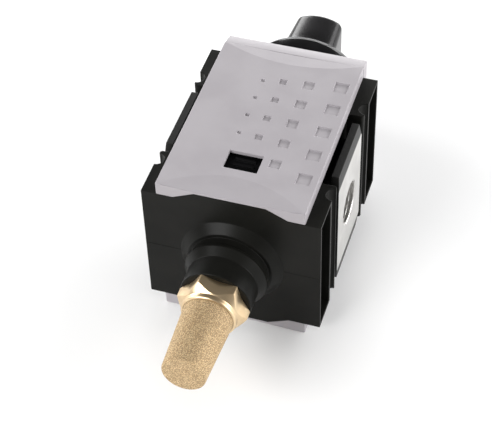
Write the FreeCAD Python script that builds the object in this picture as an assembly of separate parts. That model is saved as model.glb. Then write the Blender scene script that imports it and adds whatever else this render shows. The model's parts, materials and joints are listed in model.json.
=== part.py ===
import FreeCAD, Part
import math
import os

# Manual 3/2-way venting ball valve of a modular air-preparation line, lying on its rear
# cover, with a sintered-bronze muffler screwed into its exhaust.
#
# Frame, in millimetres: +X is the flow direction through the two ports, +Y runs along the
# valve from the muffler to the knob, +Z points out of the front cover.  The origin lies on
# the outer face of the rear cover, straight below the crossing of port axis and valve axis.

V = FreeCAD.Vector
OUT = "parts"

# ---- overall sizes ----------------------------------------------------------------------
body_width = 60.0          # across the two port faces, X
body_length = 72.0         # between the muffler end and the knob end, Y
body_depth = 48.7          # between the two faces that carry the covers, Z

# ---- covers -----------------------------------------------------------------------------
cover_width = 49.7
cover_rise = 4.7           # outer face of a cover above the body face
cover_wall = 1.3
cover_end_wall = 1.6
scoop_depth = 0.55         # dished facet at each end of a cover, deepest on the centre line
scoop_reach_near = 9.7
scoop_reach_far = 5.8
recess_depth = 0.45        # square recesses of the front cover
window_width = 11.5
window_length = 8.0
window_x = -0.8
window_from_end = 17.1     # centre of the window from the muffler end of the body
insert_margin = 1.0        # insert beyond the window on each side
insert_plate = 1.0
insert_rib_length = 7.2
insert_rib_width = 1.0
insert_rib_height = 0.6
insert_rib_pitch = 2.6
hook_thickness = 1.6
hook_width = 5.0
hook_reach = 7.0           # how far a snap hook goes into the body
hook_barb = 0.8
hook_x = 21.6              # middle of a hook
hook_catch = 2.2           # height of the catch above the tip of a hook
hook_nose = 0.6            # flat of the barb below its catch
ledge_overlap = 0.6        # how far a ledge runs into the walls of its slot
rim_radius = 0.4
hook_from_end = 6.2        # middle of a hook from either end of the body

# ---- body -------------------------------------------------------------------------------
core_width = 48.0          # body between the end blocks
end_block = 12.4           # length of a pocketed end block
pocket_rim = 1.0
pocket_depth = 5.0
groove_radius = 2.6        # upright half-round groove beside each end block
groove_land = 0.3
post_slot = 2.3            # slot between a port plate and the slim post beside it
pad_rise = 3.4             # raised pad under a cover
pad_top_width = 23.5
pad_foot_width = 38.0
edge_radius = 0.5
post_rounding = 1.0
pad_pocket_depth = 2.0     # pocket in the pad that holds the window insert

# ---- ports ------------------------------------------------------------------------------
thread_minor_radius = 7.475   # G3/8 female thread, at its crests
thread_depth = 12.0
port_chamfer = 0.35
drill_cone = 1.5
plate_width = 29.0         # port plate, Y
plate_flat = 37.2          # flat part of its face, Z
plate_tip_width = 26.0     # width where the bevel meets the front and rear planes
plate_bevel = 0.5          # how far the bevel falls back in X
wing_thickness = 3.0       # flange that a coupling clamp grips
plate_boss_depth = 30.0    # thick middle of the plate, Z
spigot_tip_in = 3.0        # end of a spigot inside the reach of the ball
passage_radius = 5.6

# ---- ball, seats, stem ------------------------------------------------------------------
ball_radius = 11.0
ball_bore_radius = 5.25
ball_slot_width = 4.3
ball_slot_depth = 3.7
ball_room = 1.9            # spigot bore beyond the ball
chamber_radius = 12.0      # bore between the exhaust adapter and the bonnet
vent_width = 6.4           # slot that lets the outlet out to the exhaust when closed
vent_depth = 4.8
seat_outer_radius = 9.2
seat_thickness = 4.2
seat_proud = 0.6           # how far a seat stands out of its spigot
seal_shelf = 0.4           # step behind a seat seal
stem_radius = 5.5
stem_flange_radius = 7.0
stem_flange_thickness = 1.7
stem_headroom = 0.4        # stem flange above the ball
square_side = 7.4
square_above_stop = 6.0    # end of the square above the stop ring
thrust_washer_thickness = 1.0

# ---- bonnet, end frame, knob ------------------------------------------------------------
bonnet_radius = 13.4
bonnet_flange_margin = 4.2 # flange beyond the circle of the screws
bonnet_flange_thickness = 3.0
bonnet_hub_radius = 10.0
bonnet_hub_height = 4.8
neck_margin = 2.2          # neck of the body beyond the circle of the screws
frame_thickness = 5.2      # light frame between body and knob
frame_slope_run = 4.7
frame_slope_drop = 1.0
frame_side_inset = 0.1
bonnet_screw_margin = 2.4  # circle of the screws beyond the plug
bonnet_screw_radius = 1.45
bonnet_screw_length = 12.0
bonnet_screw_head_radius = 2.7
bonnet_screw_head = 2.0
bonnet_screw_socket = 2.5
screw_hole_spare = 2.0     # hole beyond the tip of a screw
stop_inner_radius = 7.2
stop_outer_radius = 9.8
stop_height = 2.0
stop_root = 0.5            # depth at which the stop ring is rooted in the hub
stop_play = 1.0            # degrees between the lug of the knob and the ends of the ring
stop_lug_gap = 0.2         # lug of the knob, narrower than the ring by this on each side
stop_lug_angle = 30.0
knob_travel = 90.0
knob_wall = 1.6
knob_play = 0.6            # inside of the skirt beyond the bonnet flange
knob_skirt_height = 10.8
knob_dome_height = 7.0
knob_dome_top_radius = 13.0
knob_dome_bulge = 1.6
grip_width = 18.2
grip_length = 40.0
grip_end_radius = 16.0
grip_corner_radius = 4.0
grip_rounding = 1.2
grip_taper = 0.7           # each flank leans in by this much up to the top
knob_height = 28.7         # skirt rim to the top of the grip
knob_screw_radius = 1.45
knob_screw_length = 11.0
knob_screw_head_radius = 2.7
knob_screw_head = 2.5
knob_screw_socket = 2.5
knob_web = 1.6
cap_radius = 3.3
cap_thickness = 1.6
cap_plug = 1.6             # how far the rim of the cap reaches down
cap_plug_wall = 1.0
cap_ledge = 0.4            # ledge that the cap rests on

# ---- exhaust and muffler ----------------------------------------------------------------
exhaust_bore_radius = 12.0
collar_foot_wall = 5.6     # collar radii beyond the exhaust bore
collar_top_wall = 2.5
collar_neck_wall = 1.3
collar_cone = 2.7
collar_length = 5.7        # from the body face to the end of the collar
adapter_rim_wall = 2.0     # rim beyond the exhaust bore
adapter_rim = 1.1
adapter_chamfer = 2.7
adapter_end = 17.5         # outer end of the adapter from the body face
adapter_passage_radius = 6.2
adapter_inner_y = -16.0
edge_break = 0.3
muffler_thread_radius = 7.9
muffler_thread_length = 9.6
muffler_thread_chamfer = 0.8
thread_spare = 0.6
hex_across_flats = 20.6
hex_length = 7.5
hex_turn = -10.0           # turn of the hexagon about the valve axis, degrees
hex_chamfer_radius = 9.8
hex_chamfer = 1.8
element_root_radius = 8.4
element_tip_radius = 7.25
element_length = 24.0      # visible length in front of the hexagon
element_socket = 3.0
element_wall = 2.8
element_gap = 0.2
element_round = 0.8
muffler_bore_radius = 5.0

# ---- seals and clips --------------------------------------------------------------------
gland_width = 2.0          # width of an O-ring groove
spigot_seal_depth = 1.5
spigot_seal_x = 14.3
seat_seal_depth = 1.4
bonnet_seal_depth = 1.5
bonnet_seal_y = 20.0
stem_seal_depth = 1.4
stem_seal_ys = (20.5, 26.5)
adapter_seal_depth = 1.5
adapter_seal_in = 7.0      # seal of the adapter inside the end of the body
clip_thickness = 1.6
clip_x = 19.2              # middle of a retaining clip
clip_leg = 3.0
clip_bite = 1.4            # how far a clip leg enters the spigot groove
clip_bridge = 2.6
clip_leg_short = 2.0       # a leg stops this far above the bottom of its spigot
clip_tip_chamfer = 0.8

# ---- clearances -------------------------------------------------------------------------
fit = 0.05                 # radial clearance of plugs, spigots and threads
seat_gap = 0.08            # ball to seat
seal_gap = 0.01            # O-ring to the walls it seals against
moving_gap = 0.4           # moving plastic faces
track_gap = 0.2            # inner wall of the track of the stop ring
head_gap = 0.1             # sunk screw heads
overcut = 0.1              # how far a cutting shape passes a face that it opens
cover_gap = 0.15

# ---- places worked out from the sizes ---------------------------------------------------
half_width = body_width / 2
near = -body_length / 2
far = body_length / 2
rear_plane = cover_rise
front_plane = cover_rise + body_depth
front_face = front_plane + cover_rise
axis_z = cover_rise + body_depth / 2
core = core_width / 2
cover_half = cover_width / 2
spigot_tip_x = ball_radius - spigot_tip_in
spigot_radius = ball_radius + ball_room
ball_slot_floor = ball_radius - ball_slot_depth
vent_floor = ball_radius - vent_depth
stem_flange_y = ball_radius + stem_headroom
stem_flange_top = stem_flange_y + stem_flange_thickness
bonnet_bottom = stem_flange_top + thrust_washer_thickness
bonnet_screw_circle = bonnet_radius + bonnet_screw_margin
bonnet_flange_radius = bonnet_screw_circle + bonnet_flange_margin
neck_radius = bonnet_screw_circle + neck_margin
knob_radius = bonnet_flange_radius + knob_play + knob_wall
frame_top = far + frame_thickness
flange_top = frame_top + bonnet_flange_thickness
hub_top = flange_top + bonnet_hub_height
screw_seat = flange_top - bonnet_screw_head - head_gap
screw_hole_end = screw_seat - bonnet_screw_length - screw_hole_spare
knob_bottom = frame_top + moving_gap
knob_top = knob_bottom + knob_height
shoulder = knob_bottom + knob_skirt_height
cavity_top = hub_top + moving_gap
stop_top = hub_top + stop_height
square_bottom = hub_top + moving_gap
square_top = stop_top + square_above_stop
web_top = square_top + knob_web
collar_foot_radius = exhaust_bore_radius + collar_foot_wall
collar_top_radius = exhaust_bore_radius + collar_top_wall
collar_neck_radius = exhaust_bore_radius + collar_neck_wall
collar_end = near - collar_length
adapter_rim_radius = exhaust_bore_radius + adapter_rim_wall
adapter_seal_y = near + adapter_seal_in
rim_start = collar_end - cover_gap
adapter_outer = near - adapter_end
hex_front = adapter_outer - hex_length
element_tip = hex_front - element_length
window_y = near + window_from_end


# ---- shape helpers ----------------------------------------------------------------------
def box(x, y, z):
    """Box between two limits on each axis."""
    return Part.makeBox(x[1] - x[0], y[1] - y[0], z[1] - z[0], V(x[0], y[0], z[0]))


def prism(points, direction):
    """Closed polygon of 3-D points pushed along a vector."""
    loop = [V(*p) for p in points]
    return Part.Face(Part.makePolygon(loop + loop[:1])).extrude(V(*direction))


def turned_y(profile):
    """Ring from a closed (radius, y) outline turned about the valve axis."""
    loop = [V(r, y, axis_z) for r, y in profile]
    face = Part.Face(Part.makePolygon(loop + loop[:1]))
    return face.revolve(V(0, 0, axis_z), V(0, 1, 0), 360)


def turned_x(profile):
    """Ring from a closed (radius, x) outline turned about the port axis."""
    loop = [V(x, r, axis_z) for r, x in profile]
    face = Part.Face(Part.makePolygon(loop + loop[:1]))
    return face.revolve(V(0, 0, axis_z), V(1, 0, 0), 360)


def rod_y(radius, y0, y1, x=0.0, z=None):
    """Cylinder along Y between two heights."""
    height = axis_z if z is None else z
    return Part.makeCylinder(radius, y1 - y0, V(x, y0, height), V(0, 1, 0))


def rod_x(radius, x0, x1):
    """Cylinder along the port axis."""
    return Part.makeCylinder(radius, x1 - x0, V(x0, 0, axis_z), V(1, 0, 0))


def ring_y(inner, outer, y0, y1):
    """Plain ring about the valve axis."""
    return turned_y([(inner, y0), (outer, y0), (outer, y1), (inner, y1)])


def o_ring_y(inner, depth, y):
    """O-ring about the valve axis that fills a groove of the given depth."""
    middle = depth / 2
    return Part.makeTorus(inner + middle, middle - seal_gap, V(0, y, axis_z), V(0, 1, 0))


def o_ring_x(inner, depth, x):
    """O-ring about the port axis that fills a groove of the given depth."""
    middle = depth / 2
    return Part.makeTorus(inner + middle, middle - seal_gap, V(x, 0, axis_z), V(1, 0, 0))


def sector_y(inner, outer, y0, y1, start, sweep):
    """Part of a ring about the valve axis; angles in degrees from +X towards -Z."""
    loop = [V(r, y, axis_z) for r, y in ((inner, y0), (outer, y0), (outer, y1), (inner, y1))]
    face = Part.Face(Part.makePolygon(loop + loop[:1]))
    face.rotate(V(0, 0, axis_z), V(0, 1, 0), start)
    return face.revolve(V(0, 0, axis_z), V(0, 1, 0), sweep)


def to_inlet(shape):
    """The same piece on the inlet side: half a turn about the upright through the origin."""
    copy = shape.copy()
    copy.rotate(V(0, 0, 0), V(0, 0, 1), 180)
    return copy


def to_rear(shape):
    """Mirror image of a front piece across the middle plane between the covers."""
    return shape.mirror(V(0, 0, axis_z), V(0, 0, 1))


def single(shape):
    """The one solid of a finished boolean result."""
    solids = shape.removeSplitter().Solids
    return max(solids, key=lambda s: s.Volume)


def four_ways(x, y):
    """The four mirror images of a point."""
    return [(sx * x, sy * y) for sx in (-1, 1) for sy in (-1, 1)]


# ---- body -------------------------------------------------------------------------------
def pad():
    """Trapezium-section pad on the front face, over the full length of the body."""
    foot, top = pad_foot_width / 2, pad_top_width / 2
    z0, z1 = front_plane, front_plane + pad_rise
    outline = [(-foot, near, z0), (foot, near, z0), (top, near, z1), (-top, near, z1)]
    return prism(outline, (0, body_length, 0))


def side_blocks():
    """Four end blocks with an upright half-round groove and a slim rounded post."""
    inner = plate_width / 2 + post_slot
    shapes = []
    for sx, sy in four_ways(1, 1):
        xs = sorted((0, sx * half_width))
        ys = sorted((sy * inner, sy * far))
        block = box(xs, ys, (rear_plane, front_plane))
        groove_y = far - end_block - groove_land - groove_radius
        groove = Part.makeCylinder(groove_radius, body_depth, V(sx * half_width, sy * groove_y, rear_plane))
        tops = [e for e in block.Edges if abs(e.CenterOfMass.x) > half_width - 0.1
                and abs(abs(e.CenterOfMass.y) - inner) < 0.1]
        shapes.append(block.makeFillet(post_rounding, tops).cut(groove))
    return shapes


def end_pockets():
    """Hollows of the end blocks, open to the sides."""
    ys = (far - end_block + pocket_rim, far - pocket_rim)
    zs = (rear_plane + pocket_rim, front_plane - pocket_rim)
    shapes = []
    for sx, sy in four_ways(1, 1):
        xs = sorted((sx * (half_width - pocket_depth), sx * (half_width + 1)))
        shapes.append(box(xs, sorted((sy * ys[0], sy * ys[1])), zs))
    return shapes


def collar():
    """Turned collar around the exhaust."""
    return turned_y([(0, near + 1), (collar_foot_radius, near + 1), (collar_foot_radius, near),
                     (collar_top_radius, near - collar_cone),
                     (collar_neck_radius, near - collar_cone), (collar_neck_radius, collar_end),
                     (0, collar_end)])


def clip_slots():
    """Slots for the two retaining clips, open to the front face."""
    half = clip_thickness / 2 + cover_gap
    reach = spigot_radius - clip_bite + clip_leg + cover_gap
    bottom = axis_z - spigot_radius
    legs = []
    for sy in (-1, 1):
        ys = sorted((sy * (spigot_radius - clip_bite), sy * reach))
        legs.append(box((clip_x - half, clip_x + half), ys, (bottom, front_plane + pad_rise)))
    bridge = box((clip_x - half, clip_x + half), (-reach, reach),
                 (front_plane - clip_bridge - 2 * cover_gap, front_plane + pad_rise))
    side = legs[0].fuse([legs[1], bridge])
    return [side, to_inlet(side)]


def hook_slots():
    """Slots for the snap hooks of the front cover, with the ledge under each barb."""
    gap = cover_gap
    shapes = []
    for x, y in four_ways(hook_x, far - hook_from_end):
        inward = -1 if x > 0 else 1
        half = hook_thickness / 2 + gap
        ys = (y - hook_width / 2 - gap, y + hook_width / 2 + gap)
        xs = sorted((x - inward * half, x + inward * (half + hook_barb)))
        shapes.append(box(xs, ys, (front_plane - hook_reach - 1, front_plane)))
    return shapes


def ledges():
    """Small ledges that the barbs of the front cover catch under."""
    shapes = []
    depth = hook_reach - hook_catch - cover_gap
    for x, y in four_ways(hook_x, far - hook_from_end):
        inward = -1 if x > 0 else 1
        half = hook_thickness / 2 + cover_gap
        xs = sorted((x + inward * half, x + inward * (half + hook_barb + ledge_overlap)))
        ys = (y - hook_width / 2 - ledge_overlap, y + hook_width / 2 + ledge_overlap)
        shapes.append(box(xs, ys, (front_plane - depth, front_plane)))
    return shapes


def bonnet_screw_places():
    """Centres of the four bonnet screws."""
    turn = [math.radians(45 + 90 * i) for i in range(4)]
    return [(bonnet_screw_circle * math.cos(a), axis_z + bonnet_screw_circle * math.sin(a)) for a in turn]


def window_pocket():
    """Pocket in the front pad that holds the blanking insert."""
    half_x = window_width / 2 + insert_margin + cover_gap
    half_y = window_length / 2 + insert_margin + cover_gap
    top = front_plane + pad_rise
    return box((window_x - half_x, window_x + half_x), (window_y - half_y, window_y + half_y),
               (top - pad_pocket_depth, top + 1))


def valve_body():
    """Moulded body: core, end blocks, pads, collar, neck and every bore and slot."""
    main = box((-core, core), (near, far), (rear_plane, front_plane))
    front_pad = pad()
    solid = main.fuse(side_blocks() + [front_pad, to_rear(front_pad), collar(),
                                       rod_y(neck_radius, far, frame_top)])
    slots = hook_slots()
    rear_slots = [to_rear(s) for s in slots]
    cuts = end_pockets() + clip_slots() + slots + rear_slots
    cuts.append(rod_y(exhaust_bore_radius, collar_end - 1, adapter_inner_y))
    cuts.append(rod_y(chamber_radius, adapter_inner_y - 1, spigot_radius + fit))
    cuts.append(rod_y(bonnet_radius + fit, spigot_radius, frame_top + 1))
    cuts.append(rod_x(spigot_radius + fit, -core - 1, core + 1))
    cuts.append(window_pocket())
    for x, z in bonnet_screw_places():
        cuts.append(rod_y(bonnet_screw_radius + fit, screw_hole_end, frame_top + 1, x, z))
    for tool in cuts:
        solid = solid.cut(tool)
    catches = ledges()
    solid = solid.fuse(catches + [to_rear(c) for c in catches])
    return single(solid)


# ---- covers -----------------------------------------------------------------------------
def scoop(end_y, reach, inward):
    """Large tilted cylinder that dishes one end of a cover: its lowest line falls from the
    outer face, `reach` inside the end, to `scoop_depth` below it at the end."""
    radius = cover_half ** 2 / (2 * scoop_depth)
    run = V(0, inward * reach, scoop_depth)
    run.normalize()
    lift = V(0, -inward * run.z, abs(run.y)) * radius
    low = V(0, end_y, front_face - scoop_depth)
    start = low + lift - run * reach
    return Part.makeCylinder(radius, 3 * reach, start, run)


def hooks():
    """Four snap hooks that reach down from the cover into the body."""
    shapes = []
    top = front_plane + cover_rise - cover_wall / 2
    for x, y in four_ways(hook_x, far - hook_from_end):
        inward = -1 if x > 0 else 1
        half = hook_thickness / 2
        bottom = front_plane - hook_reach
        y0 = y - hook_width / 2
        outer, inner = x - inward * half, x + inward * half
        tip = inner + inward * hook_barb
        catch = bottom + hook_catch
        outline = [(outer, y0, top), (inner, y0, top), (inner, y0, catch), (tip, y0, catch),
                   (tip, y0, catch - hook_nose), (inner, y0, bottom), (outer, y0, bottom)]
        shapes.append(prism(outline, (0, hook_width, 0)))
    return shapes


def plain_cover():
    """Tray-shaped cover: outer shell, end walls notched over the pad, snap hooks."""
    shell = box((-cover_half, cover_half), (near, far), (front_plane, front_face))
    uprights = [e for e in shell.Edges if abs(e.Vertexes[0].Z - e.Vertexes[1].Z) > 1]
    shell = shell.makeFillet(edge_radius, uprights)
    rims = [e for e in shell.Edges if e.CenterOfMass.z > front_face - 0.01
            and abs(abs(e.CenterOfMass.x) - cover_half) < 0.01 and e.Length > body_length / 2]
    shell = shell.makeFillet(rim_radius, rims)
    skirt = cover_half - cover_wall
    cavity = box((-skirt, skirt), (near + cover_end_wall, far - cover_end_wall),
                 (front_plane - 1, front_face - cover_wall))
    foot, top = pad_foot_width / 2 + cover_gap, pad_top_width / 2 + cover_gap
    z0, z1 = front_plane - 0.01, front_plane + pad_rise
    outline = [(-foot, near - 1, z0), (foot, near - 1, z0), (top, near - 1, z1), (-top, near - 1, z1)]
    notch = prism(outline, (0, body_length + 2, 0))
    solid = shell.cut(cavity).cut(notch)
    solid = solid.cut(scoop(near, scoop_reach_near, 1)).cut(scoop(far, scoop_reach_far, -1))
    return solid.fuse(hooks())


def recess_places():
    """Centre and side of each square recess: four columns whose squares and pitch grow."""
    columns = ((-6.2, 4, 20.1, 8.8, 1.3), (0.6, 4, 21.2, 9.3, 2.5),
               (9.4, 5, 21.8, 9.75, 3.7), (20.2, 5, 23.6, 11.2, 4.7))
    places = []
    for x, count, top_y, pitch, side in columns:
        for i in range(count):
            places.append((x, top_y - i * pitch, side))
    return places


def front_cover():
    """Front cover with its square recesses and its window."""
    solid = plain_cover()
    for x, y, side in recess_places():
        solid = solid.cut(box((x - side / 2, x + side / 2), (y - side / 2, y + side / 2),
                              (front_face - recess_depth, front_face + 1)))
    opening = box((window_x - window_width / 2, window_x + window_width / 2),
                  (window_y - window_length / 2, window_y + window_length / 2),
                  (front_plane, front_face + 1))
    return single(solid.cut(opening))


def rear_cover():
    """Rear cover: mirror image of the plain cover."""
    return single(to_rear(plain_cover()))


def window_insert():
    """Blank behind the window: a plate with a low ribbed frame."""
    half_x, half_y = window_width / 2 + insert_margin, window_length / 2 + insert_margin
    floor = front_plane + pad_rise - pad_pocket_depth
    plate = box((window_x - half_x, window_x + half_x), (window_y - half_y, window_y + half_y),
                (floor, floor + insert_plate))
    xs = (window_x - insert_rib_length / 2, window_x + insert_rib_length / 2)
    zs = (floor + insert_plate / 2, floor + insert_plate + insert_rib_height)
    ribs = []
    for i in (-1, 0, 1):
        y = window_y + i * insert_rib_pitch
        ribs.append(box(xs, (y - insert_rib_width / 2, y + insert_rib_width / 2), zs))
    return single(plate.fuse(ribs))


# ---- ports ------------------------------------------------------------------------------
def port_plate():
    """Metal port plate of the outlet side: bevelled clamp flange, boss and spigot."""
    half, flat, tip = plate_width / 2, plate_flat / 2, plate_tip_width / 2
    edge = body_depth / 2
    back = half_width - wing_thickness
    outline = [(half, -flat), (half, flat), (tip, edge), (-tip, edge),
               (-half, flat), (-half, -flat), (-tip, -edge), (tip, -edge)]
    flange = prism([(back, y, axis_z + z) for y, z in outline], (wing_thickness, 0, 0))
    for s in (-1, 1):
        low = half_width - plate_bevel * (edge + 1 - flat) / (edge - flat)
        wedge = [(half_width, -half, axis_z + s * flat), (half_width, -half, axis_z + s * (edge + 1)),
                 (low, -half, axis_z + s * (edge + 1))]
        flange = flange.cut(prism(wedge, (0, plate_width, 0)))
    boss = box((core, back), (-half, half), (axis_z - plate_boss_depth / 2, axis_z + plate_boss_depth / 2))
    r0, groove = spigot_radius, spigot_radius - clip_bite - fit
    seal, half_seal = spigot_radius + fit - spigot_seal_depth, gland_width / 2
    half_clip = clip_thickness / 2 + fit
    spigot = turned_x([(0, core), (r0, core), (r0, clip_x + half_clip), (groove, clip_x + half_clip),
                       (groove, clip_x - half_clip), (r0, clip_x - half_clip),
                       (r0, spigot_seal_x + half_seal), (seal, spigot_seal_x + half_seal),
                       (seal, spigot_seal_x - half_seal), (r0, spigot_seal_x - half_seal),
                       (r0, spigot_tip_x), (0, spigot_tip_x)])
    seat_back = spigot_tip_x + seat_thickness - seat_proud
    seat_bore = seat_outer_radius + fit
    shelf = seat_bore - seat_seal_depth - seal_shelf
    thread_end = half_width - thread_depth
    wide = thread_minor_radius + port_chamfer
    hollow = turned_x([(0, half_width + 1), (wide, half_width + 1), (wide, half_width),
                       (thread_minor_radius, half_width - port_chamfer),
                       (thread_minor_radius, thread_end), (passage_radius, thread_end - drill_cone),
                       (passage_radius, seat_back), (shelf, seat_back), (shelf, seat_back + seat_seal_depth),
                       (seat_bore, seat_back + seat_seal_depth), (seat_bore, spigot_tip_x - 1),
                       (0, spigot_tip_x - 1)])
    return single(flange.fuse([boss, spigot]).cut(hollow))


def ball_seat():
    """Seat ring of the outlet side with a spherical face."""
    front = spigot_tip_x - seat_proud
    back = front + seat_thickness
    ring = turned_x([(passage_radius, front), (seat_outer_radius, front),
                     (seat_outer_radius, back), (passage_radius, back)])
    return single(ring.cut(Part.makeSphere(ball_radius + seat_gap, V(0, 0, axis_z))))


def seat_seal():
    """O-ring behind the seat of the outlet side."""
    back = spigot_tip_x - seat_proud + seat_thickness
    inner = seat_outer_radius + fit - seat_seal_depth
    return o_ring_x(inner, seat_seal_depth, back + seat_seal_depth / 2)


def spigot_seal():
    """O-ring around the spigot of the outlet side."""
    return o_ring_x(spigot_radius + fit - spigot_seal_depth, spigot_seal_depth, spigot_seal_x)


def retaining_clip():
    """Steel fork pushed in from the front that locks the outlet spigot."""
    inner = spigot_radius - clip_bite
    outer = inner + clip_leg
    x0, x1 = clip_x - clip_thickness / 2, clip_x + clip_thickness / 2
    bottom, top = axis_z - spigot_radius + clip_leg_short, front_plane - cover_gap
    legs = [box((x0, x1), sorted((s * inner, s * outer)), (bottom, top)) for s in (-1, 1)]
    bridge = box((x0, x1), (-outer, outer), (top - clip_bridge, top))
    fork = legs[0].fuse([legs[1], bridge])
    tips = [e for e in fork.Edges if e.CenterOfMass.z < bottom + 0.01
            and abs(e.CenterOfMass.x - clip_x) < 0.01]
    return single(fork.makeChamfer(clip_tip_chamfer, tips))


# ---- ball and stem ----------------------------------------------------------------------
def ball():
    """Ball in the closed, vented position: bore across the flow, vent slot to the outlet."""
    solid = Part.makeSphere(ball_radius, V(0, 0, axis_z))
    reach = ball_radius + 1
    bore = Part.makeCylinder(ball_bore_radius, 2 * reach, V(0, 0, axis_z - reach))
    slot = box((-reach, reach), (ball_slot_floor, reach),
               (axis_z - ball_slot_width / 2, axis_z + ball_slot_width / 2))
    half = vent_width / 2
    vent = box((vent_floor, reach), (-reach, 0), (axis_z - half, axis_z + half))
    vent_end = rod_x(half, vent_floor, reach)
    return single(solid.cut(bore).cut(slot).cut(vent).cut(vent_end))


def stem():
    """Stem: tang in the ball, thrust flange, two seal grooves and a square for the knob."""
    groove, half = stem_radius - stem_seal_depth, gland_width / 2
    outline = [(0, stem_flange_y), (stem_flange_radius, stem_flange_y),
               (stem_flange_radius, stem_flange_top), (stem_radius, stem_flange_top)]
    for y in stem_seal_ys:
        outline += [(stem_radius, y - half), (groove, y - half), (groove, y + half), (stem_radius, y + half)]
    outline += [(stem_radius, square_bottom), (0, square_bottom)]
    shaft = turned_y(outline)
    tang_half = ball_slot_width / 2 - fit
    tang_top = stem_flange_y + stem_flange_thickness / 2
    tang = box((-stem_radius, stem_radius), (ball_slot_floor + 2 * fit, tang_top),
               (axis_z - tang_half, axis_z + tang_half))
    side = square_side / 2
    square = box((-side, side), (square_bottom, square_top), (axis_z - side, axis_z + side))
    thread = rod_y(knob_screw_radius + fit, web_top - knob_screw_length - 1, square_top + 1)
    return single(shaft.fuse([tang, square]).cut(thread))


def stem_seals():
    """The two O-rings of the stem."""
    return [o_ring_y(stem_radius - stem_seal_depth, stem_seal_depth, y) for y in stem_seal_ys]


def thrust_washer():
    """Low-friction washer between the stem flange and the bonnet."""
    return ring_y(stem_radius + fit, stem_flange_radius, stem_flange_top + fit, bonnet_bottom - fit)


# ---- bonnet, frame and knob -------------------------------------------------------------
def bonnet():
    """Bonnet plug with flange, hub, stem bore and the ring that stops the knob."""
    groove, half = bonnet_radius + fit - bonnet_seal_depth, gland_width / 2
    outline = [(stem_radius + fit, bonnet_bottom), (bonnet_radius, bonnet_bottom),
               (bonnet_radius, bonnet_seal_y - half), (groove, bonnet_seal_y - half),
               (groove, bonnet_seal_y + half), (bonnet_radius, bonnet_seal_y + half),
               (bonnet_radius, frame_top), (bonnet_flange_radius, frame_top),
               (bonnet_flange_radius, flange_top), (bonnet_hub_radius, flange_top),
               (bonnet_hub_radius, hub_top), (stem_radius + fit, hub_top)]
    solid = turned_y(outline)
    start = knob_travel + stop_lug_angle / 2 + stop_play
    relief = knob_travel + stop_lug_angle + 2 * stop_play
    stop = sector_y(stop_inner_radius, stop_outer_radius, hub_top - stop_root, stop_top,
                    start, 360 - relief)
    solid = solid.fuse(stop)
    for x, z in bonnet_screw_places():
        solid = solid.cut(rod_y(bonnet_screw_radius + fit, frame_top - 1, flange_top + 1, x, z))
        solid = solid.cut(rod_y(bonnet_screw_head_radius + head_gap, screw_seat, flange_top + 1, x, z))
    return single(solid)


def bonnet_seal():
    """O-ring of the bonnet."""
    return o_ring_y(bonnet_radius + fit - bonnet_seal_depth, bonnet_seal_depth, bonnet_seal_y)


def screw_y(x, z, seat, radius, length, head_radius, head, socket):
    """Cap screw with a hexagon socket whose head rests at height `seat` and points to -Y."""
    solid = rod_y(radius, seat - length, seat, x, z).fuse(rod_y(head_radius, seat, seat + head, x, z))
    corners = [math.radians(60 * i) for i in range(6)]
    size = socket / math.sqrt(3)
    loop = [(x + size * math.cos(a), seat + head * 0.4, z + size * math.sin(a)) for a in corners]
    return single(solid.cut(prism(loop, (0, head, 0))))


def bonnet_screws():
    """The four cap screws of the bonnet."""
    return [screw_y(x, z, screw_seat, bonnet_screw_radius, bonnet_screw_length,
                    bonnet_screw_head_radius, bonnet_screw_head, bonnet_screw_socket)
            for x, z in bonnet_screw_places()]


def end_frame():
    """Light frame between body and knob: as wide and deep as the covers, sloped rim."""
    y0, y1 = far, frame_top
    y_slope = y1 - frame_slope_run
    front, rear = front_face - scoop_depth, scoop_depth

    def outline(y, inset, drop):
        side = cover_half - inset
        loop = [V(-side, y, rear + drop), V(side, y, rear + drop),
                V(side, y, front - drop), V(-side, y, front - drop)]
        return Part.makePolygon(loop + loop[:1])

    slab = box((-cover_half, cover_half), (y0, y_slope), (rear, front))
    ends = [outline(y_slope, 0, 0), outline(y1, frame_side_inset, frame_slope_drop)]
    rim = Part.makeLoft(ends, True, True)
    solid = slab.fuse(rim).cut(rod_y(neck_radius + fit, y0 - 1, y1 + 1))
    return single(solid)


def grip_outline(y, inset):
    """Plan of the grip bar: straight flanks, rounded corners and crowned ends.

    Angles are measured from +X in the X-Z plane; each corner arc runs from its flank up to
    the crown of the end, which it meets in a common tangent."""
    half, tip = grip_width / 2 - inset, grip_length / 2 - inset
    corner, crown = grip_corner_radius, grip_end_radius
    corner_x = half - corner
    rise = math.sqrt((crown - corner) ** 2 - corner_x ** 2)
    corner_z = tip - crown + rise
    high = math.atan2(rise, corner_x)
    on_corner = [(corner_x + corner * math.cos(a), corner_z + corner * math.sin(a))
                 for a in (0, high / 2, high)]

    def point(x, z):
        return V(x, y, axis_z + z)

    edges = []
    for side in (-1, 1):
        for end in (-1, 1):
            arc = [point(side * x, end * z) for x, z in on_corner]
            edges.append(Part.Arc(arc[0], arc[1], arc[2]).toShape())
        edges.append(Part.makeLine(point(side * half, -corner_z), point(side * half, corner_z)))
        joint_x, joint_z = on_corner[2]
        edges.append(Part.Arc(point(-joint_x, side * joint_z), point(0, side * tip),
                              point(joint_x, side * joint_z)).toShape())
    return Part.Wire(Part.__sortEdges__(edges))


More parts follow.
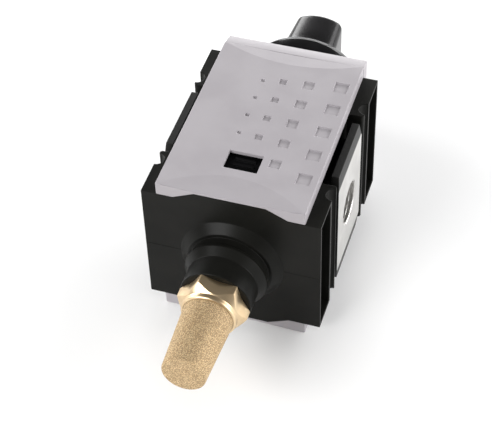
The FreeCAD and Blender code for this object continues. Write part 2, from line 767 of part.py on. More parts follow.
def knob():
    """Knob: skirt, domed shoulder, grip bar, stop lug and the square that drives the stem."""
    dome_top = shoulder + knob_dome_height
    half_way = (knob_radius + knob_dome_top_radius) / 2
    rise = [V(knob_radius, shoulder, axis_z),
            V(half_way + knob_dome_bulge, shoulder + knob_dome_height * 0.62, axis_z),
            V(knob_dome_top_radius, dome_top, axis_z)]
    edges = [Part.makeLine(V(0, knob_bottom, axis_z), V(knob_radius, knob_bottom, axis_z)),
             Part.makeLine(V(knob_radius, knob_bottom, axis_z), rise[0]),
             Part.Arc(rise[0], rise[1], rise[2]).toShape(),
             Part.makeLine(rise[2], V(0, dome_top, axis_z)),
             Part.makeLine(V(0, dome_top, axis_z), V(0, knob_bottom, axis_z))]
    shell = Part.Face(Part.Wire(edges)).revolve(V(0, 0, axis_z), V(0, 1, 0), 360)
    grip = Part.makeLoft([grip_outline(shoulder, 0), grip_outline(knob_top, grip_taper)], True, True)
    rim = [e for e in grip.Edges if e.CenterOfMass.y > knob_top - 0.01]
    grip = grip.makeFillet(grip_rounding, rim)
    solid = shell.fuse(grip)
    inner = knob_radius - knob_wall
    cuts = [rod_y(inner, knob_bottom - 1, flange_top + moving_gap),
            rod_y(bonnet_hub_radius + moving_gap, knob_bottom, cavity_top),
            rod_y(knob_screw_radius + track_gap, square_top - 1, web_top + 1),
            rod_y(cap_radius - cap_ledge, web_top, knob_top + 1),
            rod_y(cap_radius + fit, knob_top - cap_thickness, knob_top + 1)]
    side = square_side / 2 + fit
    cuts.append(box((-side, side), (cavity_top - 1, square_top + fit), (axis_z - side, axis_z + side)))
    track_top = stop_top + moving_gap
    track = ring_y(stop_inner_radius - track_gap, stop_outer_radius + moving_gap,
                   cavity_top - overcut, track_top)
    lug = sector_y(stop_inner_radius + stop_lug_gap, stop_outer_radius - stop_lug_gap, cavity_top,
                   track_top, -stop_lug_angle / 2, stop_lug_angle)
    cuts.append(track.cut(lug))
    for tool in cuts:
        solid = solid.cut(tool)
    return single(solid)


def knob_screw():
    """Screw that holds the knob on the stem."""
    return screw_y(0, axis_z, web_top, knob_screw_radius, knob_screw_length,
                   knob_screw_head_radius, knob_screw_head, knob_screw_socket)


def knob_cap():
    """Cap over the knob screw."""
    top = rod_y(cap_radius, knob_top - cap_thickness + fit, knob_top)
    outer = cap_radius - cap_ledge - fit
    under = knob_top - cap_thickness
    plug = ring_y(outer - cap_plug_wall, outer, under - cap_plug, under + cap_thickness / 2)
    return single(top.fuse(plug))


# ---- exhaust and muffler ----------------------------------------------------------------
def exhaust_adapter():
    """Screwed adapter that carries the muffler."""
    r = exhaust_bore_radius - fit
    groove, half = exhaust_bore_radius - adapter_seal_depth, gland_width / 2
    rim_end = rim_start - adapter_rim
    shank_end = adapter_outer + muffler_thread_length + thread_spare
    bore = muffler_thread_radius + fit
    outline = [(adapter_passage_radius, adapter_inner_y), (r, adapter_inner_y),
               (r, adapter_seal_y + half), (groove, adapter_seal_y + half),
               (groove, adapter_seal_y - half), (r, adapter_seal_y - half),
               (r, rim_start), (adapter_rim_radius, rim_start), (adapter_rim_radius, rim_end),
               (exhaust_bore_radius, rim_end - adapter_chamfer),
               (exhaust_bore_radius, adapter_outer + edge_break),
               (exhaust_bore_radius - edge_break, adapter_outer), (bore, adapter_outer), (bore, shank_end),
               (adapter_passage_radius, shank_end + 1)]
    return single(turned_y(outline))


def exhaust_adapter_seal():
    """O-ring of the exhaust adapter."""
    return o_ring_y(exhaust_bore_radius - adapter_seal_depth, adapter_seal_depth, adapter_seal_y)


def muffler_base():
    """Brass hexagon with its threaded shank and the socket for the sintered element."""
    radius = hex_across_flats / math.sqrt(3)
    corners = [math.radians(hex_turn + 60 * i) for i in range(6)]
    loop = [(radius * math.cos(a), hex_front, axis_z + radius * math.sin(a)) for a in corners]
    nut = prism(loop, (0, hex_length, 0))
    cone = turned_y([(0, hex_front), (hex_chamfer_radius, hex_front), (radius, hex_front + hex_chamfer),
                     (radius + 1, hex_front + hex_chamfer), (radius + 1, adapter_outer - edge_radius),
                     (radius - edge_radius, adapter_outer), (0, adapter_outer)])
    shank_end = adapter_outer + muffler_thread_length
    r, lead = muffler_thread_radius, muffler_thread_chamfer
    shank = turned_y([(0, adapter_outer), (r, adapter_outer), (r, shank_end - lead), (r - lead, shank_end),
                      (0, shank_end)])
    solid = nut.common(cone).fuse(shank)
    solid = solid.cut(rod_y(muffler_bore_radius, hex_front - 1, shank_end + 1))
    socket = rod_y(element_root_radius + element_gap, hex_front - 1, hex_front + element_socket)
    return single(solid.cut(socket))


def muffler_element():
    """Sintered-bronze cup: gently tapered, closed at the tip, hollow inside."""
    root_y = hex_front + element_socket
    tip = element_tip_radius
    outline = [(element_root_radius - element_wall, root_y), (element_root_radius, root_y),
               (element_root_radius, hex_front), (tip, element_tip), (0, element_tip),
               (0, element_tip + element_wall), (tip - element_wall, element_tip + element_wall)]
    cup = turned_y(outline)
    rim = [e for e in cup.Edges if abs(e.CenterOfMass.y - element_tip) < 0.01 and e.Length > tip]
    return single(cup.makeFillet(element_round, rim))


# ---- write every node -------------------------------------------------------------------
NODES = {
    "valve_body": valve_body,
    "front_cover": front_cover,
    "rear_cover": rear_cover,
    "window_insert": window_insert,
    "end_frame": end_frame,
    "outlet_port_plate": port_plate,
    "inlet_port_plate": lambda: to_inlet(port_plate()),
    "outlet_spigot_seal": spigot_seal,
    "inlet_spigot_seal": lambda: to_inlet(spigot_seal()),
    "outlet_retaining_clip": retaining_clip,
    "inlet_retaining_clip": lambda: to_inlet(retaining_clip()),
    "outlet_ball_seat": ball_seat,
    "inlet_ball_seat": lambda: to_inlet(ball_seat()),
    "outlet_seat_seal": seat_seal,
    "inlet_seat_seal": lambda: to_inlet(seat_seal()),
    "ball": ball,
    "stem": stem,
    "stem_seals": stem_seals,
    "thrust_washer": thrust_washer,
    "bonnet": bonnet,
    "bonnet_seal": bonnet_seal,
    "bonnet_screws": bonnet_screws,
    "knob": knob,
    "knob_screw": knob_screw,
    "knob_cap": knob_cap,
    "exhaust_adapter": exhaust_adapter,
    "exhaust_adapter_seal": exhaust_adapter_seal,
    "muffler_base": muffler_base,
    "muffler_element": muffler_element,
}


def main():
    """Build each node and write its STEP file."""
    os.makedirs(OUT, exist_ok=True)
    for name, build in NODES.items():
        made = build()
        shape = Part.makeCompound(made) if isinstance(made, list) else made
        if not shape.isValid():
            raise RuntimeError(name + " is not a valid shape")
        shape.exportStep(os.path.join(OUT, name + ".step"))
        print(name, len(shape.Solids), round(shape.Volume, 1))


main()
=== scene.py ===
"""Studio picture of a hand-turned venting valve with a sintered-bronze muffler in its exhaust.

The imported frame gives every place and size; its +X is the flow, +Y runs from the muffler to
the knob and +Z points out of the front cover.  Shapes are worked out in millimetres.
"""

import json
import math

import bmesh
import bpy
import numpy as np
from mathutils import Matrix, Vector

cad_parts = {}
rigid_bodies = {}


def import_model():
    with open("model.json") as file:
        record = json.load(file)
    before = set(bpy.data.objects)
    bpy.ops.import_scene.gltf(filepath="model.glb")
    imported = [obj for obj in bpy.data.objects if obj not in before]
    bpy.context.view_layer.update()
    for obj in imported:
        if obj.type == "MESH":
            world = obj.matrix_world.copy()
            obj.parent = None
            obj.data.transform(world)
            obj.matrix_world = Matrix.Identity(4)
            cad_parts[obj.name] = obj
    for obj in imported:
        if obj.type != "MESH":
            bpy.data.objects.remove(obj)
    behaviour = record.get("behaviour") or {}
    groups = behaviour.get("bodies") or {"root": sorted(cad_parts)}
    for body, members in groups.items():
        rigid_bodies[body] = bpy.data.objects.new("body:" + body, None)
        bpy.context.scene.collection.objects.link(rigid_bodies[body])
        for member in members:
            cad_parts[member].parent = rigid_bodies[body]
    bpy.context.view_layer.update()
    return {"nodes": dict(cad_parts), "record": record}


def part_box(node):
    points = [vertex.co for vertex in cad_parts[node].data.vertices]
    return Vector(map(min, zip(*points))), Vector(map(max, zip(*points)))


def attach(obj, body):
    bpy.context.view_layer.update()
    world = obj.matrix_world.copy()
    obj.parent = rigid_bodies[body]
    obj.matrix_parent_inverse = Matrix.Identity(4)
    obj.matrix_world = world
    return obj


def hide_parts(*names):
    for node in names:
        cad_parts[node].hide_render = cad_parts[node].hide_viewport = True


for spare in list(bpy.data.objects):
    bpy.data.objects.remove(spare)

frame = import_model()

MM = 0.001


def span(node):
    """Lowest and highest corner of a node, in millimetres."""
    low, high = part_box(node)
    return np.array(low) / MM, np.array(high) / MM


# ---- places taken from the frame ---------------------------------------------------------
PLATE_LOW, PLATE_HIGH = span("outlet_port_plate")
PORT_FACE = PLATE_HIGH[0]
AXIS_Z = (PLATE_LOW[2] + PLATE_HIGH[2]) / 2
NEAR_Y = span("front_cover")[0][1]
ELEMENT_LOW, ELEMENT_HIGH = span("muffler_element")
BASE_LOW, BASE_HIGH = span("muffler_base")
ADAPTER_LOW, ADAPTER_HIGH = span("exhaust_adapter")
KNOB_LOW, KNOB_HIGH = span("knob")
CAP_RADIUS = span("knob_cap")[1][0]
BODY_LOW, BODY_HIGH = span("valve_body")
FRAME_TOP = span("end_frame")[1][1]
COLLAR_END = BODY_LOW[1]

# ---- threads of the ports, in millimetres ------------------------------------------------
THREAD_CREST, THREAD_ROOT, THREAD_PITCH = 7.475, 8.3, 1.337
THREAD_START, THREAD_END = PORT_FACE - 0.35, PORT_FACE - 12.0
THREAD_SEAT = THREAD_ROOT + 0.05


# ---- meshes ------------------------------------------------------------------------------
def make_mesh(name, points, faces):
    """Mesh object from points in millimetres and a face array, turned so that faces look out."""
    corners = points[faces]
    first, last = corners[:, 0], corners[:, -1]
    volume = sum(np.einsum("ij,ij->i", first, np.cross(corners[:, k], corners[:, k + 1])).sum()
                 for k in range(1, faces.shape[1] - 1))
    if volume < 0:
        faces = faces[:, ::-1]
    mesh = bpy.data.meshes.new(name)
    mesh.from_pydata((points * MM).tolist(), [], faces.tolist())
    mesh.update()
    piece = bpy.data.objects.new(name, mesh)
    bpy.context.scene.collection.objects.link(piece)
    return piece


def skin(name, grid, loop=True, sharp=40.0):
    """Closed skin over a grid of points.  Columns always close on themselves; rows do when
    `loop` is set, else the first and last row are poles on the axis and are merged."""
    rows, columns = grid.shape[:2]
    index = np.arange(rows * columns).reshape(rows, columns)
    here = index if loop else index[:-1]
    there = np.roll(index, -1, axis=0) if loop else index[1:]
    quads = np.stack([here, np.roll(here, -1, 1), np.roll(there, -1, 1), there], axis=-1)
    piece = make_mesh(name, grid.reshape(-1, 3), quads.reshape(-1, 4))
    if not loop:
        merge_doubles(piece.data)
    smooth(piece.data, sharp)
    return piece


def merge_doubles(mesh):
    """Joins points that lie in the same place."""
    work = bmesh.new()
    work.from_mesh(mesh)
    bmesh.ops.remove_doubles(work, verts=work.verts, dist=1e-3 * MM)
    work.to_mesh(mesh)
    work.free()


def smooth(mesh, sharp):
    """Smooth shading with a crease at every edge sharper than the angle, in degrees."""
    mesh.polygons.foreach_set("use_smooth", np.ones(len(mesh.polygons), bool))
    mesh.set_sharp_from_angle(angle=math.radians(sharp))
    mesh.update()


def finish_piece(piece, body, slot, material, *nodes):
    """Gives a piece its body, its material and the nodes it replaces; the slot argument is not
    used.
    """
    piece.data.materials.clear()
    piece.data.materials.append(material)
    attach(piece, body)
    if nodes:
        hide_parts(*nodes)


def rounded(corners, closed=False, steps=6):
    """Outline with arcs at its corners.  Each corner is (radius, y, rounding); the arc of
    that rounding touches both legs at rounding / tan(half the corner's angle) from it."""
    places = np.array([c[:2] for c in corners], float)
    result = []
    for i, (place, corner) in enumerate(zip(places, corners)):
        ends = not closed and i in (0, len(corners) - 1)
        if ends or corner[2] <= 0:
            result.append(place[None])
            continue
        back, ahead = places[i - 1] - place, places[(i + 1) % len(places)] - place
        back, ahead = back / np.linalg.norm(back), ahead / np.linalg.norm(ahead)
        half = math.acos(np.clip(back @ ahead, -1, 1)) / 2
        reach = corner[2] / math.tan(half)
        middle = (back + ahead) / np.linalg.norm(back + ahead)
        centre = place + middle * corner[2] / math.sin(half)
        start, end = place + back * reach - centre, place + ahead * reach - centre
        part = np.linspace(0, 1, steps)[:, None]
        turn = math.pi - 2 * half
        arc = (np.sin((1 - part) * turn) * start + np.sin(part * turn) * end) / math.sin(turn)
        result.append(centre + arc)
    return np.concatenate(result)


def resampled(outline, spacing):
    """Outline with extra points so that no leg is longer than the spacing."""
    legs = np.diff(outline, axis=0)
    counts = np.maximum(1, np.ceil(np.linalg.norm(legs, axis=1) / spacing).astype(int))
    parts = [outline[i] + legs[i] * (np.arange(n) / n)[:, None] for i, n in enumerate(counts)]
    return np.concatenate(parts + [outline[-1:]])


def around(radius, along, angle):
    """Points at a radius and an angle about the valve axis: x = r cos a, z = r sin a."""
    radius, along, angle = np.broadcast_arrays(radius, along, angle)
    return np.stack([radius * np.cos(angle), along, AXIS_Z + radius * np.sin(angle)], axis=-1)


def turned(name, outline, loop=True):
    """Piece turned about the valve axis from its outline of (radius, y) points."""
    angle = np.linspace(0, 2 * np.pi, 144, endpoint=False)[None]
    return skin(name, around(outline[:, :1], outline[:, 1:], angle), loop)


def softened(node, name, width, creases=None, reshape=None):
    """Copy of a node whose triangles are joined into whole faces and whose sharp edges get
    a small rounding of the given width.  Edges whose angle lies within `creases`, in
    degrees, keep a crisp line; `reshape` may move the points, in millimetres, first."""
    source = frame["nodes"][node].data
    count = len(source.vertices)
    points = np.empty(count * 3, np.float32)
    source.vertices.foreach_get("co", points)
    mesh = bpy.data.meshes.new(name)
    faces = np.empty(len(source.loops), np.int32)
    source.loops.foreach_get("vertex_index", faces)
    points = points.reshape(-1, 3)
    if reshape:
        points = reshape(points / MM) * MM
    mesh.from_pydata(points.tolist(), [], faces.reshape(-1, 3).tolist())
    work = bmesh.new()
    work.from_mesh(mesh)
    bmesh.ops.remove_doubles(work, verts=work.verts, dist=1e-3 * MM)
    bmesh.ops.dissolve_limit(work, angle_limit=math.radians(0.3),
                             verts=work.verts, edges=work.edges)
    if creases:
        for edge in work.edges:
            bend = math.degrees(edge.calc_face_angle(0.0))
            edge.smooth = not creases[0] < bend < creases[1]
    work.to_mesh(mesh)
    work.free()
    mesh.polygons.foreach_set("use_smooth", np.ones(len(mesh.polygons), bool))
    piece = bpy.data.objects.new(name, mesh)
    bpy.context.scene.collection.objects.link(piece)
    bevel = piece.modifiers.new("edge_rounding", "BEVEL")
    bevel.limit_method = "ANGLE"
    bevel.angle_limit = math.radians(28.0)
    bevel.width = width * MM
    bevel.segments = 2
    bevel.use_clamp_overlap = False
    bevel.harden_normals = True
    return piece


# ---- shader arithmetic -------------------------------------------------------------------
class Wire:
    """Output socket of a material; arithmetic on it adds Math nodes."""

    def __init__(self, paint, socket):
        self.paint, self.socket = paint, socket

    def _math(self, operation, first, second):
        return self.paint.node("ShaderNodeMath", {"operation": operation}, {0: first, 1: second})

    def __add__(self, other):
        return self._math("ADD", self, other)

    def __radd__(self, other):
        return self._math("ADD", other, self)

    def __sub__(self, other):
        return self._math("SUBTRACT", self, other)

    def __rsub__(self, other):
        return self._math("SUBTRACT", other, self)

    def __mul__(self, other):
        return self._math("MULTIPLY", self, other)

    def __rmul__(self, other):
        return self._math("MULTIPLY", other, self)

    def __pow__(self, other):
        return self._math("POWER", self, other)


class Paint:
    """A new material and the ways to add to it.  Positions are in millimetres."""

    def __init__(self, name, **constants):
        self.material = bpy.data.materials.new(name)
        self.material.use_nodes = True
        self.tree = self.material.node_tree
        self.shader = self.tree.nodes["Principled BSDF"]
        for key, value in constants.items():
            socket = key.replace("_", " ").title().replace("Ior", "IOR")
            self.shader.inputs[socket].default_value = value
        coordinate = self.node("ShaderNodeTexCoord", output="Object")
        self.place = self.node("ShaderNodeVectorMath", {"operation": "SCALE"},
                               {0: coordinate, "Scale": 1 / MM})

    def node(self, kind, settings=None, inputs=None, output=0):
        """Adds a node: its settings first, then the values or links of its sockets."""
        made = self.tree.nodes.new(kind)
        for key, value in (settings or {}).items():
            setattr(made, key, value)
        for key, value in (inputs or {}).items():
            self.feed(made.inputs[key], value)
        return Wire(self, made.outputs[output])

    def feed(self, socket, value):
        """Links a wire to a socket, or sets the socket's own value."""
        if isinstance(value, Wire):
            self.tree.links.new(value.socket, socket)
        else:
            socket.default_value = value

    def noise(self, per_mm, detail=2.0):
        """Cloud pattern with so many waves per millimetre."""
        return self.node("ShaderNodeTexNoise", None,
                         {"Vector": self.place, "Scale": per_mm, "Detail": detail}, "Fac")

    def cells(self, per_mm, output="Distance"):
        """Cell pattern with so many cells per millimetre."""
        return self.node("ShaderNodeTexVoronoi", None,
                         {"Vector": self.place, "Scale": per_mm}, output)

    def ramp(self, value, low, high, to_low=0.0, to_high=1.0):
        """Smooth rise of a value from one range to another."""
        return self.node("ShaderNodeMapRange", {"interpolation_type": "SMOOTHSTEP"},
                         {"Value": value, "From Min": low, "From Max": high,
                          "To Min": to_low, "To Max": to_high})

    def blend(self, share, first, second):
        """Mix of two colours by a share from 0 to 1."""
        made = self.tree.nodes.new("ShaderNodeMix")
        made.data_type = "RGBA"
        sockets = [s for s in made.inputs if s.enabled]
        colours = [c if isinstance(c, Wire) else (*c, 1.0) for c in (first, second)]
        for socket, value in zip(sockets, (share, *colours)):
            self.feed(socket, value)
        return Wire(self, [s for s in made.outputs if s.enabled][0])

    def part_of_place(self, axis):
        """One coordinate of the place."""
        return self.node("ShaderNodeSeparateXYZ", None, {0: self.place}, axis)

    def radius(self, axis="Y"):
        """Distance from the valve axis, or from the port axis for axis X."""
        across = self.part_of_place("X" if axis == "Y" else "Y")
        up = self.part_of_place("Z") - AXIS_Z
        return (across * across + up * up) ** 0.5

    def wave(self, value, length):
        """Sine of a value, one wave per length."""
        phase = value * (2 * math.pi / length)
        return self.node("ShaderNodeMath", {"operation": "SINE"}, {0: phase})

    def bump(self, height, depth):
        """Relief from a height of 0 to 1 and its depth in millimetres."""
        return self.node("ShaderNodeBump", None,
                         {"Height": height, "Distance": depth * MM, "Strength": 1.0})

    def done(self, colour=None, roughness=None, metallic=None, normal=None):
        """Links what changes over the surface and returns the material."""
        for key, value in (("Base Color", colour), ("Roughness", roughness),
                           ("Metallic", metallic), ("Normal", normal)):
            if value is not None:
                self.feed(self.shader.inputs[key], value)
        return self.material


# ---- finishes ----------------------------------------------------------------------------
def moulded_plastic(name, dark, light, rough, grain_depth, dust, specular):
    """Moulded plastic: eroded mould grain, cloudy gloss and a little light dust."""
    p = Paint(name, specular_ior_level=specular)
    clouds = p.noise(0.07, 3.0)
    grain = p.noise(5.0, 3.0)
    flecks = p.ramp(p.noise(2.3, 1.0), 0.72, 0.80, 0.0, dust)
    tone = p.blend(p.ramp(clouds, 0.3, 0.7), dark, light)
    colour = p.blend(flecks, tone, tuple(0.4 + 0.5 * c for c in light))
    gloss = rough + 0.10 * (clouds - 0.5) + 0.06 * (grain - 0.5)
    return p.done(colour, gloss, normal=p.bump(grain, grain_depth))


def turned_metal(name, bright, dull, rough, ring, ring_depth):
    """Machined metal: fine turning rings, drifting tarnish and small scratches."""
    p = Paint(name, metallic=1.0)
    rings = p.wave(p.radius() + 0.04 * p.noise(0.8), ring)
    stains = p.ramp(p.noise(0.18, 4.0), 0.42, 0.72, 0.0, 0.5)
    scratches = p.ramp(p.noise(3.0, 4.0), 0.62, 0.70)
    colour = p.blend(stains, bright, dull)
    gloss = rough + 0.12 * stains + 0.08 * scratches
    return p.done(colour, gloss, normal=p.bump(0.5 * rings + 0.35 * p.noise(6.0), ring_depth))


def coated_plate(name, bright, dull, rough):
    """Die-cast port plate: machined bright on its outer face and in its thread, black coated
    everywhere else.  The share of metal rises over the last 0.1 mm up to the face, and over
    0.2 mm just behind the thread; fine facing rings run round the port."""
    p = Paint(name, specular_ior_level=0.25)
    out = p.node("ShaderNodeMath", {"operation": "ABSOLUTE"}, {0: p.part_of_place("X")})
    radius = p.radius("X")
    face = p.ramp(out, PORT_FACE - 0.10, PORT_FACE - 0.02)
    within = p.ramp(radius, THREAD_SEAT, THREAD_SEAT + 0.1, 1.0, 0.0)
    thread = within * p.ramp(out, THREAD_END - 0.4, THREAD_END - 0.2)
    bare = p.node("ShaderNodeMath", {"operation": "MAXIMUM"}, {0: face, 1: thread})
    pits = p.noise(4.0, 4.0)
    drift = p.noise(0.12, 2.0)
    rings = p.wave(radius + 0.05 * p.noise(0.7), 0.22)
    metal = p.blend(p.ramp(drift, 0.3, 0.7), bright, dull)
    coat = p.blend(p.ramp(pits, 0.3, 0.7), (0.008, 0.008, 0.0075), (0.012, 0.012, 0.011))
    gloss = bare * rough + (1 - bare) * 0.42 + 0.12 * (pits - 0.5)
    relief = p.bump(0.5 * pits + 0.25 * bare * rings, 0.012)
    return p.done(p.blend(bare, coat, metal), gloss, bare, relief)


def sintered_metal(name):
    """Sintered bronze: each grain has its own tone, with painted shade darkening the pits between
    grains.
    """
    p = Paint(name)
    tone = p.cells(3.0, "Color")
    shade = p.node("ShaderNodeSeparateXYZ", None, {0: tone})
    pits = p.ramp(p.cells(3.0), 0.22, 0.60)
    drift = p.ramp(p.noise(0.15, 3.0), 0.35, 0.7, 0.0, 0.35)
    grains = p.blend(shade, (0.90, 0.70, 0.42), (0.70, 0.49, 0.26))
    drifted = p.blend(drift, grains, (0.82, 0.62, 0.37))
    # painted shade: the pits between grains are blended toward dark brown
    colour = p.blend(pits * 0.62, drifted, (0.14, 0.075, 0.03))
    return p.done(colour, 0.55 + 0.2 * pits, 0.35, p.bump(p.noise(7.0, 2.0), 0.02))


def rubber(name):
    """Moulded rubber with a faint bloom."""
    p = Paint(name, specular_ior_level=0.3)
    bloom = p.ramp(p.noise(0.6, 4.0), 0.45, 0.8, 0.0, 0.3)
    colour = p.blend(bloom, (0.012, 0.012, 0.012), (0.06, 0.06, 0.058))
    return p.done(colour, 0.6 + 0.2 * bloom, normal=p.bump(p.noise(3.0, 3.0), 0.02))


def polymer(name, base):
    """Turned seat or washer plastic: faint rings and a slight mottle."""
    p = Paint(name)
    mottle = p.ramp(p.noise(0.4, 3.0), 0.3, 0.7)
    colour = p.blend(mottle, base, tuple(0.88 * c for c in base))
    rings = p.wave(p.radius("X"), 0.18)
    return p.done(colour, 0.35 + 0.1 * mottle, normal=p.bump(rings, 0.01))


BODY_BLACK = moulded_plastic(
    "moulded_black", dark=(0.0065, 0.0065, 0.0056), light=(0.0095, 0.0095, 0.0082),
    rough=0.36, grain_depth=0.012, dust=0.015, specular=0.10)
KNOB_BLACK = moulded_plastic(
    "knob_black", dark=(0.0070, 0.0066, 0.0072), light=(0.0100, 0.0095, 0.0103),
    rough=0.21, grain_depth=0.005, dust=0.01, specular=0.12)
COVER_GREY = moulded_plastic(
    "cover_light_grey", dark=(0.37, 0.348, 0.368), light=(0.40, 0.378, 0.398),
    rough=0.42, grain_depth=0.008, dust=0.02, specular=0.3)
INSERT_BLACK = moulded_plastic(
    "insert_black", dark=(0.003, 0.003, 0.0033), light=(0.0045, 0.0045, 0.005),
    rough=0.5, grain_depth=0.006, dust=0.008, specular=0.1)
PLATE_METAL = coated_plate(
    "coated_plate", bright=(0.74, 0.73, 0.71), dull=(0.66, 0.65, 0.63), rough=0.38)
BRASS = turned_metal(
    "turned_brass", bright=(0.80, 0.62, 0.39), dull=(0.64, 0.45, 0.26),
    rough=0.31, ring=0.16, ring_depth=0.006)
BRONZE = sintered_metal("sintered_bronze")
NICKEL = turned_metal(
    "nickel_plate", bright=(0.80, 0.78, 0.74), dull=(0.70, 0.67, 0.60),
    rough=0.10, ring=0.14, ring_depth=0.002)
STEEL = turned_metal(
    "spring_steel", bright=(0.60, 0.60, 0.62), dull=(0.48, 0.48, 0.50),
    rough=0.28, ring=0.2, ring_depth=0.004)
ZINC = turned_metal(
    "zinc_plate", bright=(0.66, 0.67, 0.70), dull=(0.55, 0.56, 0.60),
    rough=0.26, ring=0.2, ring_depth=0.003)
RUBBER = rubber("seal_rubber")
SEAT_WHITE = polymer("seat_plastic", (0.86, 0.86, 0.84))
WASHER_CREAM = polymer("washer_plastic", (0.80, 0.77, 0.66))


# ---- covers, body and plates -------------------------------------------------------------
def thread_seat(points):
    """Widens the bore of a port plate from the crests of its thread to a seat just outside
    its roots, so that the thread's ring has room."""
    around_port = points[:, 1:] - (0, AXIS_Z)
    radius = np.linalg.norm(around_port, axis=1)
    threaded = np.abs(points[:, 0]) > THREAD_END - 0.1
    inside = threaded & (np.abs(radius - THREAD_CREST) < 0.02)
    moved = points.copy()
    moved[inside, 1:] = around_port[inside] / radius[inside, None] * THREAD_SEAT + (0, AXIS_Z)
    return moved


def port_thread(side):
    """Female thread of a port as a ring that fills its seat.  The inner wall is a helix:
    r = crest + depth * (0.5 - 0.5 cos(2 pi x / pitch + angle)) ^ 0.7, and its depth fades
    out at the mouth and at the last turn."""
    turn = np.linspace(0, 2 * np.pi, 120, endpoint=False)[None]
    along = np.arange(THREAD_START, THREAD_END, -THREAD_PITCH / 9)[:, None]
    wave = (0.5 - 0.5 * np.cos(2 * np.pi * along / THREAD_PITCH + turn)) ** 0.7
    fade = np.clip((THREAD_START - along) / 0.5, 0, 1) * np.clip((along - THREAD_END) / 1.5, 0, 1)
    radius = THREAD_CREST + (THREAD_ROOT - THREAD_CREST) * wave * fade
    one = np.ones_like(turn)
    outer, mouth = THREAD_SEAT - 0.01, 7.78
    radius = np.concatenate([outer * one, mouth * one, radius, THREAD_CREST * one, outer * one])
    along = np.concatenate([[[THREAD_START]], [[PORT_FACE - 0.06]], along,
                            [[THREAD_END]], [[THREAD_END]]])
    grid = np.stack([along + 0 * turn, radius * np.cos(turn), radius * np.sin(turn)], axis=-1)
    if side == "inlet":
        grid = grid * (-1, -1, 1)
    piece = skin(side + "_port_thread", grid + (0, 0, AXIS_Z), sharp=50)
    finish_piece(piece, "valve", "port_metal", PLATE_METAL)


def housing():
    """Body, covers, frame and port plates: copies of their nodes with rounded edges."""
    arcs = (2.0, 7.0)
    for node, name, width, creases, slot, material in (
            ("valve_body", "moulded_body", 0.22, None, "body_plastic", BODY_BLACK),
            ("front_cover", "front_cover_shell", 0.16, arcs, "cover_plastic", COVER_GREY),
            ("rear_cover", "rear_cover_shell", 0.16, arcs, "cover_plastic", COVER_GREY),
            ("end_frame", "knob_end_frame", 0.2, None, "cover_plastic", COVER_GREY),
            ("window_insert", "window_blank", 0.15, None, "insert_plastic", INSERT_BLACK)):
        finish_piece(softened(node, name, width, creases), "valve", slot, material, node)
    for side in ("outlet", "inlet"):
        plate = softened(side + "_port_plate", side + "_plate", 0.18, reshape=thread_seat)
        finish_piece(plate, "valve", "port_metal", PLATE_METAL, side + "_port_plate")
        port_thread(side)


def parting_line():
    """Fine raised seam where the halves of the mould met: a low ridge round the muffler end
    of the body at axis height, from each slim post to the foot of the collar."""
    inner, outer = ADAPTER_HIGH[0] + 3.6, BODY_HIGH[0] - 0.4
    rise, half = 0.07, 0.10
    for side, name in ((-1, "mould_seam_inlet"), (1, "mould_seam_outlet")):
        ends = np.array([inner, outer]) * side
        section = [(NEAR_Y + 0.05, -half), (NEAR_Y - rise, -half / 3),
                   (NEAR_Y - rise, half / 3), (NEAR_Y + 0.05, half)]
        points = np.array([(x, y, AXIS_Z + z) for x in ends for y, z in section])
        faces = np.array([(0, 1, 5, 4), (1, 2, 6, 5), (2, 3, 7, 6), (3, 0, 4, 7),
                          (3, 2, 1, 0), (4, 5, 6, 7)])
        finish_piece(make_mesh(name, points, faces), "valve", "body_plastic", BODY_BLACK)


# ---- exhaust adapter ---------------------------------------------------------------------
def adapter():
    """Adapter turned from its outline: hidden plug with its O-ring groove, rim, chamfer,
    shank to the muffler and bore."""
    low, high = ADAPTER_LOW[1], ADAPTER_HIGH[1]
    rim = ADAPTER_HIGH[0]
    shank, bore, passage = rim - 2.05, 7.95, 6.2
    rim_start, rim_length, chamfer_end = COLLAR_END - 0.15, 1.1, 3.8
    groove, groove_start, groove_end = shank - 1.45, NEAR_Y + 6.0, NEAR_Y + 8.0
    bore_depth, passage_depth = 10.2, 11.2
    outline = rounded([
        (passage, high, 0.3), (shank, high, 0.4),
        (shank, groove_end, 0.1), (groove, groove_end, 0.1),
        (groove, groove_start, 0.1), (shank, groove_start, 0.1),
        (shank, rim_start, 0), (rim, rim_start, 0.3),
        (rim, rim_start - rim_length, 0.25), (shank, rim_start - chamfer_end, 0.5),
        (shank, low, 0.35), (bore, low, 0.3),
        (bore, low + bore_depth, 0.1), (passage, low + passage_depth, 0.1)], closed=True)
    piece = turned("exhaust_adapter_turned", outline)
    finish_piece(piece, "valve", "body_plastic", BODY_BLACK, "exhaust_adapter")


# ---- muffler -----------------------------------------------------------------------------
HEX_TURN = math.radians(-10)
HEX_CORNER = BASE_HIGH[0] / math.cos(HEX_TURN)
HEX_FLAT = HEX_CORNER * math.cos(math.radians(30))
HEX_FRONT, SHANK_END = BASE_LOW[1], BASE_HIGH[1]
HEX_BACK = ADAPTER_LOW[1]
SOCKET_RADIUS = ELEMENT_HIGH[0] + 0.3
SOCKET_DEPTH = ELEMENT_HIGH[1] - HEX_FRONT


def hex_radius(angle):
    """Hexagon as a radius over the angle a from the middle of a face: flat / cos(a), less a
    shallow hollow that falls off as cos(3 a)^2, eased at each corner by the soft minimum
    -log(exp(-k x) + exp(-k y)) / k with a circle."""
    from_middle = (angle - HEX_TURN) % (math.pi / 3) - math.pi / 6
    sharpness, hollow = 34.0, 0.55
    hexagon = HEX_FLAT / np.cos(from_middle) - hollow * np.cos(3 * from_middle) ** 2
    circle = HEX_CORNER - 0.02
    return -np.log(np.exp(-sharpness * hexagon) + np.exp(-sharpness * circle)) / sharpness


